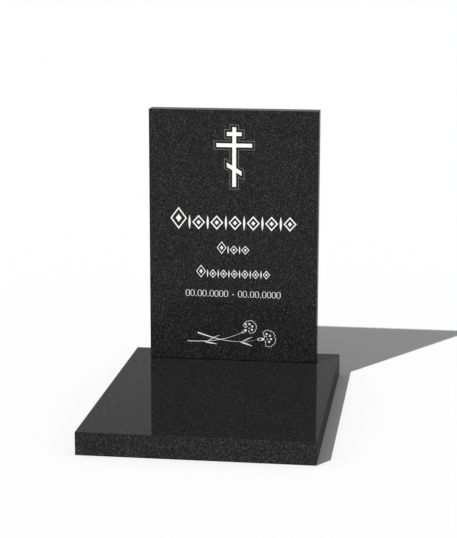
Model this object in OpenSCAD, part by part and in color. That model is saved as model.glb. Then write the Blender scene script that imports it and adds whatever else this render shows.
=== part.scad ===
// Small grave monument: a flat granite slab that lies on the ground, with an
// upright engraved stele pinned to it near the back edge.
// Millimetres, +Z up, the engraved face looks along -Y. The origin is the
// middle of the slab's footprint, at ground level.

/* [Slab] */
// Width of the slab, left to right
slab_w = 500; // [410:5:900]
// Depth of the slab, front to back
slab_d = 700; // [300:5:1400]
// Thickness of the slab
slab_t = 50; // [40:1:150]
// Width of the eased edges of the slab
slab_arris = 0.5; // [0.5:0.5:5]

/* [Stele] */
// Width of the stele
stele_w = 400; // [260:5:490]
// Height of the stele
stele_h = 600; // [300:5:1200]
// Thickness of the stele
stele_t = 40; // [30:1:120]
// Width of the eased edges of the stele
stele_arris = 0.5; // [0.5:0.5:5]
// Distance from the back of the stele to the back edge of the slab
back_margin = 55; // [10:1:200]

/* [Fixing] */
// Thickness of the mortar bed under the stele
bed_t = 2; // [1:0.5:10]
// How far the mortar bed stays inside the stele's foot
bed_inset = 3; // [1:0.5:10]
// Diameter of each steel dowel
dowel_d = 12; // [6:1:20]
// Distance between the two dowels
dowel_spacing = 220; // [100:5:250]
// Length of a dowel inside the slab
dowel_in_slab = 30; // [15:1:35]
// Length of a dowel inside the stele
dowel_in_stele = 58; // [20:1:150]
// Gap round a dowel in its hole
dowel_gap = 0.2; // [0.1:0.05:0.5]
// Free depth left above a dowel in the stele
dowel_end_gap = 2; // [0.5:0.5:10]

/* [Engraving] */
// Depth of the cut grooves
engrave_depth = 2; // [1:0.5:6]
// How far the enamel lies below the polished face
enamel_inset = 0.3; // [0.1:0.1:0.8]
// Width of the sheet that the design is drawn on; it is scaled to the stele
sheet_w = 400; // [400:10:600]
// Height of the sheet that the design is drawn on
sheet_h = 600; // [600:10:900]

/* [Cross] */
// Distance of the cross to the right of the middle of the sheet
cross_x = 2; // [-10:1:10]
// Height of the foot of the cross above the bottom of the sheet
cross_z = 419.5; // [405:0.5:430]
// Height of the cross
cross_h = 140.5; // [131:0.5:150]
// Width of the upright and of the three bars
cross_bar = 9; // [6:0.5:13]
// Length of the short top bar, and sideways reach of the slanting foot bar
cross_short = 35; // [30:1:50]
// Length of the main bar
cross_long = 84; // [60:1:120]
// Height of the middle of the slanting foot bar above the foot of the cross
foot_bar_z = 42; // [30:0.5:60]
// Height of the main bar above the foot of the cross
main_bar_z = 98; // [90:0.5:102]
// Height of the short top bar above the foot of the cross
top_bar_z = 124.5; // [121:0.5:128]
// Drop of the slanting foot bar from its left end to its right end
cross_drop = 20.5; // [10:0.5:25]
// Gap between the cross and the fine line round it
outline_gap = 5.2; // [3:0.2:6]
// Width of the fine line round the cross
outline_line = 1; // [0.6:0.2:1.4]

/* [Ornament in the place of the surname] */
// Length of the line
surname_l = 300; // [200:5:380]
// Foot of the line above the bottom of the sheet
surname_z = 316; // [310:1:330]
// Height of the tall first lozenge
surname_tall = 53; // [40:1:75]
// Height of the other lozenges and the spindles
surname_h = 35; // [25:1:50]
// Number of spindles, and of lozenges after the first
surname_count = 6; // [3:1:8]

/* [Ornament in the place of the given name] */
// Length of the line
given_name_l = 78; // [60:1:300]
// Foot of the line above the bottom of the sheet
given_name_z = 258; // [250:0.5:265]
// Height of the tall first lozenge
given_name_tall = 31; // [25:0.5:45]
// Height of the other lozenges and the spindles
given_name_h = 21.5; // [15:0.5:30]
// Number of spindles, and of lozenges after the first
given_name_count = 2; // [1:1:3]

/* [Ornament in the place of the patronymic] */
// Length of the line
patronymic_l = 177; // [140:1:350]
// Foot of the line above the bottom of the sheet
patronymic_z = 199.5; // [195:0.5:210]
// Height of the tall first lozenge
patronymic_tall = 31.5; // [25:0.5:45]
// Height of the other lozenges and the spindles
patronymic_h = 21.5; // [15:0.5:30]
// Number of spindles, and of lozenges after the first
patronymic_count = 6; // [3:1:7]

/* [Strokes of the ornament] */
// Width of the first lozenge, as a share of its height
tall_share = 0.75; // [0.6:0.01:0.8]
// Width of a spindle, as a share of the height of the line
spindle_share = 0.15; // [0.1:0.01:0.2]
// Gap beside a spindle, as a share of the height of the line
gap_share = 0.1; // [0.05:0.01:0.15]
// Width of the strokes of a lozenge, as a share of the height of the line
stroke_share = 0.09; // [0.07:0.01:0.15]

/* [Date numerals] */
// Foot of the zeros above the bottom of the sheet
date_z = 154; // [145:0.5:165]
// Width of one zero
zero_w = 10; // [8:0.2:13]
// Height of one zero
zero_h = 16; // [14:0.5:22]
// Width of the strong sides of a zero
zero_side = 1.8; // [1.5:0.1:3.5]
// Thickness of the head and foot of a zero
zero_thin = 1.1; // [0.8:0.1:3]
// Gap between two zeros
zero_gap = 1.4; // [0.6:0.1:3]
// Extra gap between two zeros with a point between them
point_step = 6.1; // [4:0.1:8]
// Diameter of a point
point_d = 2.4; // [2:0.2:4]
// Gap between the two groups of zeros, with the dash in the middle
date_gap = 23.8; // [12:0.2:30]
// Length of the dash
dash_l = 5; // [3:0.5:10]
// Thickness of the dash
dash_t = 1.8; // [1:0.2:4]
// Height of the dash, as a share of the height of a zero
dash_rise = 0.38; // [0.3:0.02:0.6]

/* [Carnations] */
// Width of the outline of a bloom and of a calyx
petal_line = 1.4; // [1:0.1:2.5]
// Petals round a bloom
petal_count = 4; // [3:1:5]
// Depth of the notches between petals, as a share of the bloom's radius
petal_notch = 0.1; // [0:0.01:0.15]
// Teeth on the ragged edge of a bloom
petal_teeth = 11; // [9:1:17]
// Depth of the gaps between teeth, as a share of the bloom's radius
tooth_depth = 0.1; // [0:0.01:0.12]
// Radius of the open place in the outline of a bloom, at its throat
throat_open = 4; // [2:0.5:5]

/* [Hidden] */
$fn = 48;

granite = "#2c2c2e";
enamel_white = "#f6f6f4";
enamel_grey = "#8c8c8c";

// Cuts run this far past the face that they open through
overcut = 1;

// Where the stele stands
stele_z = slab_t + bed_t;
stele_front = slab_d / 2 - back_margin - stele_t;
stele_mid = stele_front + stele_t / 2;

// The design is scaled to the stele, whichever side is tighter
sheet_scale = min(stele_w / sheet_w, stele_h / sheet_h);

// Slope of the foot bar of the cross
drop_angle = atan2(cross_drop, cross_short);

// Zeros in a group, and how many of them stand before each of its points
zero_pitch = zero_w + zero_gap;
group_zeros = 8;
group_breaks = [2, 4];
group_w = group_zeros * zero_pitch - zero_gap + len(group_breaks) * point_step;

// Steps along a leaf or stem, and for each tooth of a bloom
ribbon_steps = 14;
tooth_steps = 4;

// A bloom spreads this far either side of its axis, seen from its middle
bloom_spread = 126;

// Each carnation: throat of the bloom, direction of the bloom, distance from the
// throat to the middle of the bloom, its radii along and across, and the length
// and width of the calyx
upper_head = [[33.8, 76.2], 42, 9.2, [17.8, 17.6], [15.5, 6.5]];
lower_head = [[77, 54], 12, 8.8, [19, 22.6], [18, 7.5]];

// A calyx turns this far down from the direction of its bloom, and its mouth
// stands this far back from the throat
calyx_turn = -7;
calyx_gap = 1;

// Each stem: four curve points from the cut end to the calyx, and its width at
// the cut end, as a pull in the middle, and at the calyx
upper_stem_curve = [[-109, 43.5], [-60, 42.4], [-21, 47], [21.8, 68]];
upper_stem_width = [2.1, 1.1, 1.1];
lower_stem_curve = [[-85, 64.8], [-45, 52.2], [4, 36], [60, 52.2]];
lower_stem_width = [3.6, 1, 0.5];

// Each leaf: four curve points from the stem to the tip, and its pull in width
upper_leaves_data = [
    [[[-70, 43.4], [-62, 41], [-50, 40.5], [-38, 37.5]], 6.2],
    [[[-63, 44.4], [-56, 46], [-50, 54], [-31, 60.5]], 3]
];
lower_leaves_data = [
    [[[17, 45.2], [24, 43], [34, 41], [47, 35.4]], 6.6],
    [[[22, 46.8], [29, 48.4], [36, 54], [47.5, 58]], 4]
];
leaf_end_width = 0.7;

// Petal marks inside a bloom: the length and width of the outer and inner marks,
// and the angle from the axis and distance from the throat of each mark's middle
outer_mark = [7, 6.2];
inner_mark = [4, 3.6];
outer_places = [[-45, 11.7], [-10.5, 14.7], [22.5, 14.4], [60, 12.8]];
inner_places = [[-14, 6], [48, 6.9]];

// A block with its twelve edges eased, standing on z = 0
module eased_block(size, arris) {
    intersection() {
        linear_extrude(size[2]) eased_rectangle(size[0], size[1], arris);
        translate([0, size[1] / 2, size[2] / 2]) rotate([90, 0, 0])
            linear_extrude(size[1]) eased_rectangle(size[0], size[2], arris);
        translate([-size[0] / 2, 0, size[2] / 2]) rotate([90, 0, 90])
            linear_extrude(size[0]) eased_rectangle(size[1], size[2], arris);
    }
}

// A rectangle with cut corners, about the origin
module eased_rectangle(w, h, cut) {
    polygon([
        [w / 2 - cut, -h / 2], [w / 2, -h / 2 + cut], [w / 2, h / 2 - cut],
        [w / 2 - cut, h / 2], [-w / 2 + cut, h / 2], [-w / 2, h / 2 - cut],
        [-w / 2, -h / 2 + cut], [-w / 2 + cut, -h / 2]
    ]);
}

// Puts a flat design on the front of the stele, as a slab from the bottom of
// the groove outwards
module on_face(thickness) {
    translate([0, stele_front + engrave_depth, stele_z]) rotate([90, 0, 0])
        linear_extrude(thickness) scale(sheet_scale) children();
}

// The groove that a design is cut with
module groove() {
    on_face(engrave_depth + overcut) children();
}

// The enamel that fills a groove nearly to the face
module enamel() {
    on_face(engrave_depth - enamel_inset) children();
}

// An upright shape with round ends, w wide and h high, about the origin
module stadium(w, h) {
    for (side = [-1, 1]) translate([0, side * (h - w) / 2]) circle(d = w);
    if (h > w) square([w, h - w], center = true);
}

// A zero: a ring with strong sides and a thin head and foot
module zero() {
    difference() {
        stadium(zero_w, zero_h);
        stadium(zero_w - 2 * zero_side, zero_h - 2 * zero_thin);
    }
}

module lozenge(w, h) {
    polygon([[w / 2, 0], [0, h / 2], [-w / 2, 0], [0, -h / 2]]);
}

// A lozenge outline with a small solid lozenge in the middle
module ringed_lozenge(w, h, stroke) {
    half_breadth = w * h / norm([w, h]) / 2;
    open_share = 1 - stroke / half_breadth;
    difference() {
        lozenge(w, h);
        lozenge(w * open_share, h * open_share);
    }
    lozenge(w * open_share * 0.45, h * open_share * 0.45);
}

// An upright spindle with pointed ends and curved sides, about the origin
module spindle(w, h) {
    r = (w * w + h * h) / (4 * w);
    intersection() {
        translate([r - w / 2, 0]) circle(r);
        translate([w / 2 - r, 0]) circle(r);
    }
}

// A line of ornament, l long with its foot at z: a tall lozenge, then spindles
// and lozenges in turn
module ornament_line(l, z, tall_h, h, count) {
    tall_w = tall_h * tall_share;
    stroke = h * stroke_share;
    spindle_w = h * spindle_share;
    gap = h * gap_share;
    pitch = (l - tall_w) / count;
    lozenge_w = pitch - spindle_w - 2 * gap;
    translate([-l / 2, z]) {
        translate([tall_w / 2, tall_h / 2]) ringed_lozenge(tall_w, tall_h, stroke);
        for (i = [0 : count - 1]) translate([tall_w + i * pitch, h / 2]) {
            translate([gap + spindle_w / 2, 0]) spindle(spindle_w, h);
            translate([pitch - lozenge_w / 2, 0]) ringed_lozenge(lozenge_w, h, stroke);
        }
    }
}

module surname_design() {
    ornament_line(surname_l, surname_z, surname_tall, surname_h, surname_count);
}

module given_name_design() {
    ornament_line(given_name_l, given_name_z, given_name_tall, given_name_h, given_name_count);
}

module patronymic_design() {
    ornament_line(patronymic_l, patronymic_z, patronymic_tall, patronymic_h, patronymic_count);
}

// How many points stand before zero number i
function points_before(i) = len([for (b = group_breaks) if (i >= b) b]);

// Left edge of zero number i, from the left end of its group
function zero_x(i) = i * zero_pitch + points_before(i) * point_step;

// Middle of the gap before zero number i, where a point stands
function point_x(i) = zero_x(i) - (point_step + zero_gap) / 2;

// Eight zeros in groups of two, two and four, with points between them
module zero_group() {
    translate([-group_w / 2, 0]) {
        for (i = [0 : group_zeros - 1]) translate([zero_x(i) + zero_w / 2, zero_h / 2]) zero();
        for (i = group_breaks) translate([point_x(i), point_d / 2]) circle(d = point_d);
    }
}

module date_design() {
    translate([0, date_z]) {
        for (side = [-1, 1]) translate([side * (group_w + date_gap) / 2, 0]) zero_group();
        translate([0, zero_h * dash_rise]) square([dash_l, dash_t], center = true);
    }
}

// The cross, with every edge moved out by grow
module cross_design(grow) {
    bar = cross_bar + 2 * grow;
    translate([cross_x, cross_z]) {
        translate([0, cross_h / 2]) square([bar, cross_h + 2 * grow], center = true);
        translate([0, main_bar_z]) square([cross_long + 2 * grow, bar], center = true);
        translate([0, top_bar_z]) square([cross_short + 2 * grow, bar], center = true);
        translate([0, foot_bar_z]) slanting_bar(cross_short / 2 + grow, bar / cos(drop_angle) / 2);
    }
}

// A bar that falls to the right and has upright ends
module slanting_bar(reach, half_h) {
    fall = reach * tan(drop_angle);
    polygon([
        [-reach, fall - half_h], [reach, -fall - half_h],
        [reach, -fall + half_h], [-reach, fall + half_h]
    ]);
}

module outline_design() {
    difference() {
        cross_design(outline_gap + outline_line);
        cross_design(outline_gap);
    }
}

// A point and a direction on the curve through four control points
function curve_point(p, t) =
    pow(1 - t, 3) * p[0] + 3 * t * pow(1 - t, 2) * p[1] + 3 * t * t * (1 - t) * p[2] + pow(t, 3) * p[3];
function curve_direction(p, t) =
    let (v = pow(1 - t, 2) * (p[1] - p[0]) + 2 * t * (1 - t) * (p[2] - p[1]) + t * t * (p[3] - p[2]))
    v / norm(v);

// A width that runs from the first value to the last, pulled towards the middle one
function blend_width(w, t) = pow(1 - t, 2) * w[0] + 2 * t * (1 - t) * w[1] + t * t * w[2];

// One edge of a band along a curve, on the left for side = 1
function ribbon_edge(p, w, side) = [
    for (i = [0 : ribbon_steps])
        let (t = i / ribbon_steps, d = curve_direction(p, t))
        curve_point(p, t) + side * blend_width(w, t) / 2 * [-d[1], d[0]]
];

function reversed(list) = [for (i = [len(list) - 1 : -1 : 0]) list[i]];

// A band of changing width along a curve: a stem or a leaf
module ribbon(p, w) {
    polygon(concat(ribbon_edge(p, w, 1), reversed(ribbon_edge(p, w, -1))));
}

// The ragged edge of a bloom about its throat, drawn inwards by inset: broad
// petals with deep notches between them, and fine teeth along them
function bloom_edge(head, inset) = [
    for (i = [0 : petal_teeth * tooth_steps])
        let (
            turn = i / (petal_teeth * tooth_steps),
            a = bloom_spread * (2 * turn - 1),
            notch = petal_notch * sin(180 * turn) * pow(1 - abs(sin(petal_count * 180 * turn)), 2),
            gap = tooth_depth * abs(sin(petal_teeth * 180 * turn)),
            ripple = (1 - notch) * (1 - gap)
        )
        [
            head[2] + (head[3][0] * ripple - inset) * cos(a),
            (head[3][1] * ripple - inset) * sin(a)
        ]
];

// Moves a shape from a bloom's own axes to the sheet
module at_head(head) {
    translate(head[0]) rotate(head[1]) children();
}

// The outline of a bloom, open where the calyx comes in
module bloom_design(head) {
    at_head(head) difference() {
        polygon(concat([[0, 0]], bloom_edge(head, 0)));
        polygon(concat([[petal_line * 2, 0]], bloom_edge(head, petal_line)));
        circle(throat_open);
    }
}

// One petal mark about the origin: a point that widens along +X to a notched end
module petal_mark(l, w) {
    polygon([
        [-l / 2, 0], [l * 0.1, -w / 2], [l * 0.3, -w * 0.2], [l / 2, -w * 0.1],
        [l * 0.25, w * 0.1], [l * 0.45, w * 0.4], [0, w / 2]
    ]);
}

// A fan of petal marks of one size, about the throat of a bloom
module petal_fan(mark, places) {
    for (place = places) rotate(place[0]) translate([place[1], 0]) petal_mark(mark[0], mark[1]);
}

module petals_design(head) {
    at_head(head) {
        petal_fan(outer_mark, outer_places);
        petal_fan(inner_mark, inner_places);
    }
}

// The calyx: an outlined cup with a solid mouth, behind the throat of the bloom
module calyx_design(head) {
    l = head[4][0];
    w = head[4][1];
    mouth = w * 0.6;
    at_head(head) rotate(calyx_turn) difference() {
        polygon([
            [-l, -w * 0.22], [-l * 0.75, -w / 2], [-l * 0.3, -w / 2], [-calyx_gap, -mouth / 3],
            [-calyx_gap, mouth / 3], [-l * 0.3, w / 2], [-l * 0.75, w / 2], [-l, w * 0.22]
        ]);
        polygon([
            [-l + petal_line, 0], [-l * 0.72, -w / 2 + petal_line],
            [-l * 0.45, -w / 2 + petal_line], [-l * 0.45, w / 2 - petal_line],
            [-l * 0.72, w / 2 - petal_line]
        ]);
    }
}

module lower_stem_design() {
    difference() {
        ribbon(lower_stem_curve, lower_stem_width);
        calyx_design(lower_head);
    }
}

module upper_stem_design() {
    difference() {
        ribbon(upper_stem_curve, upper_stem_width);
        ribbon(lower_stem_curve, lower_stem_width);
        calyx_design(upper_head);
    }
}

module leaf(data) {
    ribbon(data[0], [leaf_end_width, data[1], leaf_end_width]);
}

// The leaves stop where they meet either stem
module leaves_design(leaves) {
    difference() {
        for (data = leaves) leaf(data);
        ribbon(upper_stem_curve, upper_stem_width);
        ribbon(lower_stem_curve, lower_stem_width);
    }
}

module dowel_hole(z, depth) {
    for (side = [-1, 1])
        translate([side * dowel_spacing / 2, stele_mid, z])
            cylinder(d = dowel_d + 2 * dowel_gap, h = depth);
}

module dowel(side) {
    translate([side * dowel_spacing / 2, stele_mid, slab_t - dowel_in_slab])
        cylinder(d = dowel_d, h = dowel_in_slab + bed_t + dowel_in_stele);
}

module base_slab() {
    color(granite) difference() {
        eased_block([slab_w, slab_d, slab_t], slab_arris);
        dowel_hole(slab_t - dowel_in_slab, dowel_in_slab + overcut);
    }
}

module setting_bed() {
    color("#3a3a3a") difference() {
        translate([-stele_w / 2 + bed_inset, stele_front + bed_inset, slab_t])
            cube([stele_w - 2 * bed_inset, stele_t - 2 * bed_inset, bed_t]);
        dowel_hole(slab_t - overcut, bed_t + 2 * overcut);
    }
}

module left_dowel() {
    color("silver") dowel(-1);
}

module right_dowel() {
    color("silver") dowel(1);
}

module stele() {
    color(granite) difference() {
        translate([0, stele_mid, stele_z]) eased_block([stele_w, stele_t, stele_h], stele_arris);
        dowel_hole(stele_z - overcut, dowel_in_stele + dowel_end_gap + overcut);
        groove() cross_design(0);
        groove() outline_design();
        groove() surname_design();
        groove() given_name_design();
        groove() patronymic_design();
        groove() date_design();
        groove() ribbon(upper_stem_curve, upper_stem_width);
        groove() ribbon(lower_stem_curve, lower_stem_width);
        for (data = concat(upper_leaves_data, lower_leaves_data)) groove() leaf(data);
        for (head = [upper_head, lower_head]) {
            groove() bloom_design(head);
            groove() petals_design(head);
            groove() calyx_design(head);
        }
    }
}

module orthodox_cross() {
    color(enamel_white) enamel() cross_design(0);
}

module cross_outline() {
    color(enamel_grey) enamel() outline_design();
}

module surname_ornament() {
    color(enamel_white) enamel() surname_design();
}

module given_name_ornament() {
    color(enamel_white) enamel() given_name_design();
}

module patronymic_ornament() {
    color(enamel_white) enamel() patronymic_design();
}

module date_numerals() {
    color(enamel_white) enamel() date_design();
}

module upper_bloom() {
    color(enamel_white) enamel() bloom_design(upper_head);
}

module upper_petals() {
    color(enamel_white) enamel() petals_design(upper_head);
}

module upper_calyx() {
    color(enamel_white) enamel() calyx_design(upper_head);
}

module upper_stem() {
    color(enamel_white) enamel() upper_stem_design();
}

module upper_leaves() {
    color(enamel_white) enamel() leaves_design(upper_leaves_data);
}

module lower_bloom() {
    color(enamel_white) enamel() bloom_design(lower_head);
}

module lower_petals() {
    color(enamel_white) enamel() petals_design(lower_head);
}

module lower_calyx() {
    color(enamel_white) enamel() calyx_design(lower_head);
}

module lower_stem() {
    color(enamel_white) enamel() lower_stem_design();
}

module lower_leaves() {
    color(enamel_white) enamel() leaves_design(lower_leaves_data);
}

base_slab();
setting_bed();
left_dowel();
right_dowel();
stele();
orthodox_cross();
cross_outline();
surname_ornament();
given_name_ornament();
patronymic_ornament();
date_numerals();
upper_bloom();
upper_petals();
upper_calyx();
upper_stem();
upper_leaves();
lower_bloom();
lower_petals();
lower_calyx();
lower_stem();
lower_leaves();
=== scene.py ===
"""Looks of a small granite grave monument: stone, enamel, mortar, steel, studio and camera.

Every size is in metres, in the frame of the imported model: x to the right as the engraved
face is read, y from the front of the slab towards the stele, z up from the ground.
"""

import bpy
import math
from mathutils import Matrix, Vector

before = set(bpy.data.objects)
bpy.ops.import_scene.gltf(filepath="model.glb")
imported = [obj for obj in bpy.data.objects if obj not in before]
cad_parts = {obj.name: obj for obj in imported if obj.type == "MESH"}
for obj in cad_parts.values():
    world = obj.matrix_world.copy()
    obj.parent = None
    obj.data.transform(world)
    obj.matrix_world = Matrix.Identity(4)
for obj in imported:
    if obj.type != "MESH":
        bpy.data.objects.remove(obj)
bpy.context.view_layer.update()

SLAB_NODES = ["base_slab"]
STELE_NODES = ["stele"]
MORTAR_NODES = ["setting_bed"]
STEEL_NODES = ["left_dowel", "right_dowel"]
GREY_NODES = ["cross_outline"]


# ---------------------------------------------------------------- node helpers

def new_material(name):
    """An empty node material."""
    material = bpy.data.materials.new(name)
    material.use_nodes = True
    material.node_tree.nodes.clear()
    return material


def add(tree, kind, sockets=None, **settings):
    """A node of this kind. A socket's value is a number, a colour or another node's output."""
    made = tree.nodes.new("ShaderNode" + kind)
    for key, value in settings.items():
        setattr(made, key, value)
    for key, value in (sockets or {}).items():
        if isinstance(value, bpy.types.NodeSocket):
            tree.links.new(value, made.inputs[key])
        else:
            made.inputs[key].default_value = value
    return made


def object_coords(tree):
    """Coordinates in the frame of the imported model, in metres."""
    return add(tree, "TexCoord").outputs["Object"]


def math_node(tree, operation, a, b):
    """The output of one Math node on two numbers or node outputs."""
    return add(tree, "Math", {0: a, 1: b}, operation=operation).outputs[0]


def remap(tree, value, from_range, to_range):
    """A value taken from one range to another, and kept inside it."""
    sockets = {"Value": value}
    sockets["From Min"], sockets["From Max"] = from_range
    sockets["To Min"], sockets["To Max"] = to_range
    return add(tree, "MapRange", sockets).outputs["Result"]


def mix_colour(tree, factor, a, b):
    """Colour a where the factor is 0, colour b where it is 1."""
    return add(tree, "Mix", {0: factor, 6: a, 7: b}, data_type="RGBA").outputs[2]


def colour_of(rgb, gain=1.0):
    """An opaque colour, made lighter or darker by this gain."""
    return tuple(gain * channel for channel in rgb) + (1,)


def grey(value):
    """An opaque neutral colour."""
    return (value, value, value, 1)


def noise(tree, coords, size, detail=2.0, roughness=0.5):
    """Smooth noise from 0 to 1 with features of about this size."""
    sockets = {"Vector": coords, "Scale": 1 / size, "Detail": detail, "Roughness": roughness}
    return add(tree, "TexNoise", sockets).outputs["Fac"]


def bump(tree, relief, depth):
    """A normal for a surface that rises by this depth where the relief is 1."""
    sockets = {"Height": relief, "Strength": 1.0, "Distance": depth}
    return add(tree, "Bump", sockets).outputs["Normal"]


def surface(material, sockets):
    """Closes the tree with one Principled shader."""
    tree = material.node_tree
    shader = add(tree, "BsdfPrincipled", sockets)
    add(tree, "OutputMaterial", {"Surface": shader.outputs["BSDF"]})
    return material


# ---------------------------------------------------------------- materials

# Crystals of the stone are laths: their length, their thickness, and how each of three
# families of them is turned, in radians about x, y and z
LATH_LENGTH = 0.0020
LATH_WIDTH = 0.0009
LATH_TURNS = [(0.3, 0.5, 0.1), (1.2, 0.2, 1.1), (0.7, 1.4, 2.2)]
# The share of light crystals falls as this power rises
FLECK_POWER = 3.6
STONE_DARK = (0.0070, 0.0072, 0.0073)
STONE_FLECK = (0.159, 0.159, 0.159)
# Slow clouds in the dark ground: their size, and how much lighter they get
CLOUD_SIZE = 0.05
CLOUD_GAIN = 1.5
STONE_ROUGHNESS = (0.42, 0.58)
# The mirror polish
STONE_COAT = 0.30
STONE_COAT_IOR = 1.25
STONE_COAT_ROUGHNESS = 0.045

# Enamel: brush marks and finer stipple, with the height of their relief
WHITE_ENAMEL = (0.90, 0.90, 0.885)
GREY_ENAMEL = (0.25, 0.25, 0.25)
WHITE_EVENNESS = 0.96
GREY_EVENNESS = 0.85
BRUSH_MARK = 0.004
STIPPLE = 0.0007
STIPPLE_SHARE = 0.3
ENAMEL_ROUGHNESS = (0.40, 0.62)
ENAMEL_SPECULAR = 0.3
ENAMEL_RELIEF = 0.00008

MORTAR_GREYS = (0.008, 0.035)
MORTAR_GRAIN = 0.0012
MORTAR_ROUGHNESS = (0.80, 0.98)
MORTAR_SPECULAR = 0.2
MORTAR_RELIEF = 0.0004

# Drawn bar: marks of this width, stretched along z by the inverse of the squeeze
STEEL_GREYS = (0.48, 0.62)
STEEL_MARK = 0.0004
STEEL_SQUEEZE = 0.02
STEEL_ROUGHNESS = (0.24, 0.42)
STEEL_RELIEF = 0.00002

# The parts of a noise's range that most of it, and nearly all of it, fall in
NOISE_MIDDLE = (0.3, 0.7)
NOISE_SPREAD = (0.2, 0.8)
WHOLE = (0.0, 1.0)


def crystal_family(tree, coords, turn):
    """A random number for each crystal of one family of laths that all lie one way."""
    sockets = {"Vector": coords, "Rotation": turn, "Scale": (LATH_LENGTH, LATH_WIDTH, LATH_WIDTH)}
    turned = add(tree, "Mapping", sockets, vector_type="TEXTURE").outputs["Vector"]
    cells = add(tree, "TexVoronoi", {"Vector": turned, "Scale": 1.0}, voronoi_dimensions="3D")
    return add(tree, "SeparateColor", {"Color": cells.outputs["Color"]}).outputs["Red"]


def granite(name):
    """Black granite: dark ground with small light laths, under a mirror polish."""
    material = new_material(name)
    tree = material.node_tree
    coords = object_coords(tree)

    families = [crystal_family(tree, coords, turn) for turn in LATH_TURNS]
    brightest = math_node(tree, "MAXIMUM", families[0], families[1])
    picked = math_node(tree, "MULTIPLY", brightest, families[2])
    flecks = math_node(tree, "POWER", picked, FLECK_POWER)

    clouds = noise(tree, coords, CLOUD_SIZE, detail=3.0)
    dark = mix_colour(tree, clouds, colour_of(STONE_DARK), colour_of(STONE_DARK, CLOUD_GAIN))
    return surface(material, {
        "Base Color": mix_colour(tree, flecks, dark, colour_of(STONE_FLECK)),
        "Roughness": remap(tree, picked, WHOLE, STONE_ROUGHNESS),
        "Specular IOR Level": 0.0,
        "Coat Weight": STONE_COAT,
        "Coat Roughness": STONE_COAT_ROUGHNESS,
        "Coat IOR": STONE_COAT_IOR,
    })


def enamel(name, colour, evenness):
    """Paint laid in a groove with a small brush: slightly uneven in tone, gloss and height."""
    material = new_material(name)
    tree = material.node_tree
    coords = object_coords(tree)
    strokes = noise(tree, coords, BRUSH_MARK, detail=4.0, roughness=0.6)
    stipple = noise(tree, coords, STIPPLE, detail=2.0)
    share = remap(tree, strokes, NOISE_MIDDLE, WHOLE)
    relief = math_node(tree, "ADD", strokes, math_node(tree, "MULTIPLY", stipple, STIPPLE_SHARE))
    return surface(material, {
        "Base Color": mix_colour(tree, share, colour_of(colour, evenness), colour_of(colour)),
        "Roughness": remap(tree, stipple, NOISE_MIDDLE, ENAMEL_ROUGHNESS),
        "Specular IOR Level": ENAMEL_SPECULAR,
        "Normal": bump(tree, relief, ENAMEL_RELIEF),
    })


def mortar():
    """Dark fine mortar in the joint under the stele."""
    material = new_material("setting_mortar")
    tree = material.node_tree
    coords = object_coords(tree)
    sand = noise(tree, coords, MORTAR_GRAIN, detail=5.0, roughness=0.65)
    darkest, lightest = MORTAR_GREYS
    return surface(material, {
        "Base Color": mix_colour(tree, sand, grey(darkest), grey(lightest)),
        "Roughness": remap(tree, sand, NOISE_SPREAD, MORTAR_ROUGHNESS),
        "Specular IOR Level": MORTAR_SPECULAR,
        "Normal": bump(tree, sand, MORTAR_RELIEF),
    })


def steel():
    """Drawn stainless bar, with fine marks along its length."""
    material = new_material("dowel_steel")
    tree = material.node_tree
    coords = object_coords(tree)
    sockets = {"Vector": coords, "Scale": (1, 1, STEEL_SQUEEZE)}
    drawn = add(tree, "Mapping", sockets, vector_type="POINT").outputs["Vector"]
    marks = noise(tree, drawn, STEEL_MARK, detail=3.0)
    darkest, lightest = STEEL_GREYS
    return surface(material, {
        "Base Color": mix_colour(tree, marks, grey(darkest), grey(lightest)),
        "Metallic": 1.0,
        "Roughness": remap(tree, marks, NOISE_SPREAD, STEEL_ROUGHNESS),
        "Normal": bump(tree, marks, STEEL_RELIEF),
    })


def give(material, names):
    """Makes this the only material of these nodes."""
    for name in names:
        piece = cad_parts[name]
        piece.data.materials.clear()
        piece.data.materials.append(material)


polished = granite("polished_granite")
engraved = granite("engraved_granite")
white = enamel("white_enamel", WHITE_ENAMEL, WHITE_EVENNESS)
silver = enamel("grey_enamel", GREY_ENAMEL, GREY_EVENNESS)
other_nodes = set(SLAB_NODES + STELE_NODES + MORTAR_NODES + STEEL_NODES + GREY_NODES)
white_nodes = [name for name in sorted(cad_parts) if name not in other_nodes]

give(polished, SLAB_NODES)
give(engraved, STELE_NODES)
give(mortar(), MORTAR_NODES)
give(steel(), STEEL_NODES)
give(silver, GREY_NODES)
give(white, white_nodes)

# The photograph's slab mirrors the plain stele without its engraving, so the enamel
# is left out of mirror images here too; it is solid and plain to see everywhere else
for name in white_nodes + GREY_NODES:
    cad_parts[name].visible_glossy = False


# ---------------------------------------------------------------- studio

# The sun's rays travel back and to the right as they fall
SUN_STRENGTH = 3.22
SUN_ANGLE = math.radians(0.8)
SUN_TRAVEL = Vector((0.5370, 0.8240, -1.0))
SUN_BACK = 3
# The sky lights the object at this strength
AMBIENT = 0.275
FLOOR_TONE = 0.99
FLOOR_SPAN = 60.0


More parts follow.
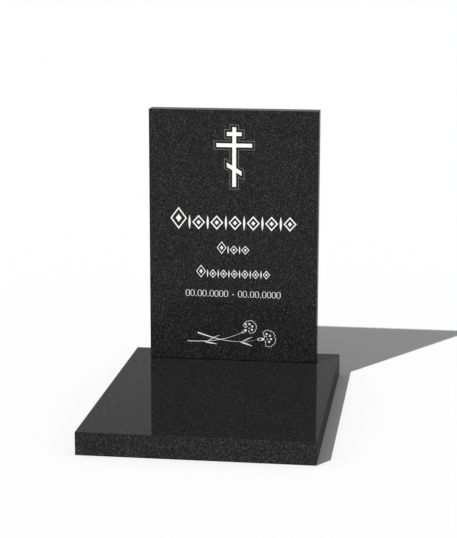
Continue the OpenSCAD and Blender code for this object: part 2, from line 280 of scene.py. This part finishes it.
def make_floor():
    """A pale floor at ground level that takes the object's shadow."""
    mesh = bpy.data.meshes.new("floor")
    half = FLOOR_SPAN / 2
    corners = [(-half, -half, 0), (half, -half, 0), (half, half, 0), (-half, half, 0)]
    mesh.from_pydata(corners, [], [(0, 1, 2, 3)])
    floor = bpy.data.objects.new("floor", mesh)
    bpy.context.scene.collection.objects.link(floor)
    material = new_material("studio_floor")
    mesh.materials.append(surface(material, {
        "Base Color": grey(FLOOR_TONE),
        "Roughness": 1.0,
        "Specular IOR Level": 0.0,
    }))


def make_world():
    """Soft even light, seen as plain white by the camera and in polished faces."""
    world = bpy.data.worlds.new("studio")
    world.use_nodes = True
    tree = world.node_tree
    tree.nodes.clear()
    path = add(tree, "LightPath").outputs
    seen = math_node(tree, "MAXIMUM", path["Is Camera Ray"], path["Is Glossy Ray"])
    seen = math_node(tree, "MAXIMUM", seen, path["Is Transmission Ray"])
    strength = remap(tree, seen, WHOLE, (AMBIENT, 1.0))
    background = add(tree, "Background", {"Color": grey(1.0), "Strength": strength})
    add(tree, "OutputWorld", {"Surface": background.outputs["Background"]})
    bpy.context.scene.world = world


def make_sun():
    """The lamp that casts the two long shadows."""
    light = bpy.data.lights.new("sun", "SUN")
    light.energy = SUN_STRENGTH
    light.angle = SUN_ANGLE
    lamp = bpy.data.objects.new("sun", light)
    lamp.rotation_mode = "QUATERNION"
    lamp.rotation_quaternion = SUN_TRAVEL.to_track_quat("-Z", "Y")
    lamp.location = -SUN_BACK * SUN_TRAVEL
    bpy.context.scene.collection.objects.link(lamp)


# ---------------------------------------------------------------- camera

CAMERA_PLACE = Vector((0.4903, -3.5155, 1.0755))
CAMERA_TARGET = Vector((0.0363, -0.1000, 0.3497))
CAMERA_ROLL = math.radians(0.108)
# Focal length and sensor width in mm
CAMERA_LENS = 109.65
CAMERA_SENSOR = 36.0


def make_camera():
    """The photograph's viewpoint: a long lens, a little right of the middle and above the stele."""
    data = bpy.data.cameras.new("camera")
    data.lens = CAMERA_LENS
    data.sensor_width = CAMERA_SENSOR
    camera = bpy.data.objects.new("camera", data)
    aim = (CAMERA_TARGET - CAMERA_PLACE).to_track_quat("-Z", "Y").to_matrix().to_4x4()
    roll = Matrix.Rotation(CAMERA_ROLL, 4, "Z")
    camera.matrix_world = Matrix.Translation(CAMERA_PLACE) @ aim @ roll
    bpy.context.scene.collection.objects.link(camera)
    bpy.context.scene.camera = camera


make_floor()
make_world()
make_sun()
make_camera()
bpy.context.scene.view_settings.view_transform = "Standard"
